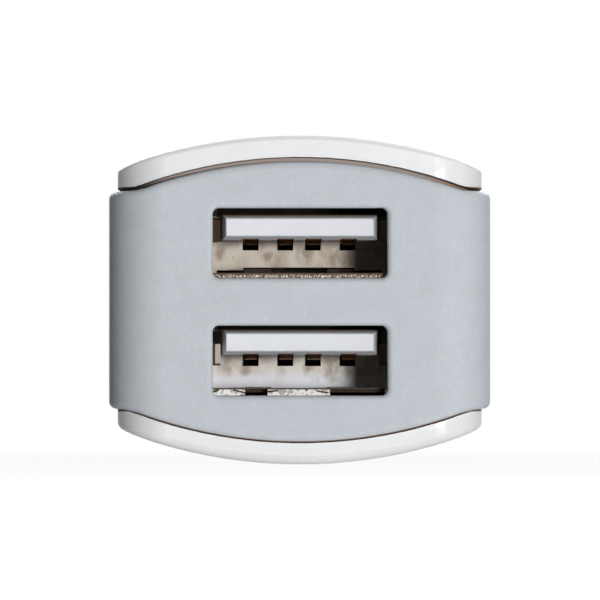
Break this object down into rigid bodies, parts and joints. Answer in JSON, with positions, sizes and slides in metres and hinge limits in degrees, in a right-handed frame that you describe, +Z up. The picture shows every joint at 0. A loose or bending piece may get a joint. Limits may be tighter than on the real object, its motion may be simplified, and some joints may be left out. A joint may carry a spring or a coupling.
{
  "type": "car usb charger plug",
  "caption": "Socket plug with a rounded head, stacked USB ports in a grey face between white shells, ground springs on its barrel and a sprung centre contact.",
  "frame": {"origin": "on the barrel's axis, at the shoulder that stops against the socket's rim", "axes": "+Y along the barrel towards the nose contact, +X to the right and +Z up as the ports are read"},
  "size_m": [0.0272, 0.0604, 0.0234],
  "materials": {
    "pearl_grey": "satin, with a fine pearl grain",
    "gloss_white": "smooth moulded gloss",
    "nickel_plate": "turned and plated",
    "spring_steel": "rolled strip and drawn wire",
    "brass_sheet": "pressed",
    "board_laminate": "solder mask",
    "tinned_steel": "pressed and tinned sheet",
    "insulator_white": "moulded",
    "contact_plate": "gold flash",
    "black_moulding": "moulded",
    "ferrite": "sintered",
    "enamelled_copper": "wound wire",
    "capacitor_sleeve": "drawn can",
    "fuse_ceramic": "fired",
    "resistor_body": "fired, tinned ends",
    "capacitor_ceramic": "fired, tinned ends"
  },
  "bodies": {
    "housing": {"front_frame": "pearl_grey", "upper_shell": "gloss_white", "lower_shell": "gloss_white", "nose_collar": "gloss_white", "contact_spring": "spring_steel", "spring_seat": "brass_sheet", "ground_post_left": "brass_sheet", "ground_post_right": "brass_sheet", "main_board": "board_laminate", "port_board": "board_laminate", "usb_can": "tinned_steel", "usb_divider": "tinned_steel", "usb_insulator": "insulator_white", "converter_chip": "black_moulding", "rectifier_diode": "black_moulding", "inductor_core": "ferrite", "inductor_winding": "enamelled_copper", "input_capacitor": "capacitor_sleeve", "output_capacitor": "capacitor_sleeve", "input_fuse": "fuse_ceramic", "chip_resistors": "resistor_body", "chip_capacitors": "capacitor_ceramic", "upper_contact_1": "contact_plate", "upper_contact_2": "contact_plate", "upper_contact_3": "contact_plate", "upper_contact_4": "contact_plate", "lower_contact_1": "contact_plate", "lower_contact_2": "contact_plate", "lower_contact_3": "contact_plate", "lower_contact_4": "contact_plate"},
    "centre_contact": {"centre_contact": "nickel_plate"},
    "ground_left": {"ground_spring_left": "spring_steel"},
    "ground_right": {"ground_spring_right": "spring_steel"}
  },
  "joints": [
    {"name": "contact_push", "type": "slide", "parent": "housing", "child": "centre_contact", "axis": [0, -1, 0], "range_m": [0, 0.003], "stiffness_N_per_m": 600, "springref_m": -0.003, "deforming": ["contact_spring"]},
    {"name": "ground_press_left", "type": "hinge", "parent": "housing", "child": "ground_left", "pos_m": [-0.00633, 0.0235, 0], "axis": [0, 0, 1], "range_deg": [0, 10], "stiffness_Nm_per_rad": 0.15},
    {"name": "ground_press_right", "type": "hinge", "parent": "housing", "child": "ground_right", "pos_m": [0.00633, 0.0235, 0], "axis": [0, 0, -1], "range_deg": [0, 10], "stiffness_Nm_per_rad": 0.15}
  ]
}
